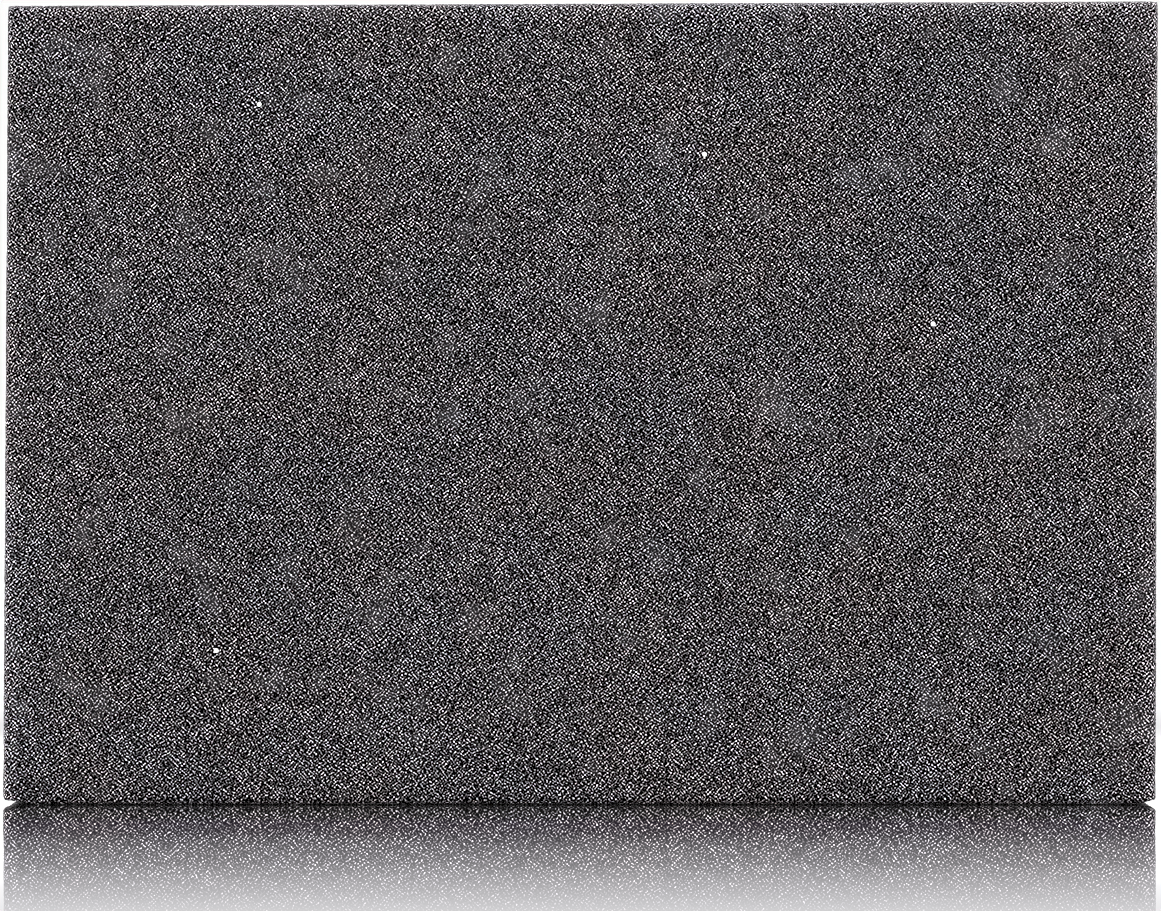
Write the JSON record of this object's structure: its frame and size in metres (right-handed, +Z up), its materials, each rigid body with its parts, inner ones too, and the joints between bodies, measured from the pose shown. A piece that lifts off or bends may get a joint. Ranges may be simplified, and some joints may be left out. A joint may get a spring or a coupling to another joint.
{
  "type": "chalkboard eraser",
  "caption": "Block-shaped board eraser: a charcoal open-cell foam wiping pad bonded to a grooved foam grip with a hardboard stiffener inside and disc magnets in its back.",
  "frame": {"origin": "centre of the bottom of the box, with the eraser standing on one long side", "axes": "+X along the eraser's length, +Y from the wiping face to the back of the grip, +Z up along the height of the wiping face"},
  "size_m": [0.13, 0.0466, 0.09],
  "materials": {
    "open_cell_foam": "fine open-cell foam, dry, with glinting cell walls",
    "contact_adhesive": "dried amber film, satin",
    "grey_sheet_foam": "closed-cell sheet foam, cut edge, matte",
    "hardboard": "pressed fibre, one smooth face",
    "black_grip_foam": "closed-cell foam with a fine pebbled skin, matte",
    "nickel_plate": "bright nickel plate, lightly scuffed"
  },
  "bodies": {
    "root": {"wiping_pad": "open_cell_foam", "pad_adhesive": "contact_adhesive", "frame_sheet": "grey_sheet_foam", "stiffener_board": "hardboard", "frame_adhesive": "contact_adhesive", "grip_block": "black_grip_foam", "magnets": "nickel_plate", "magnet_adhesive": "contact_adhesive"}
  },
  "joints": []
}
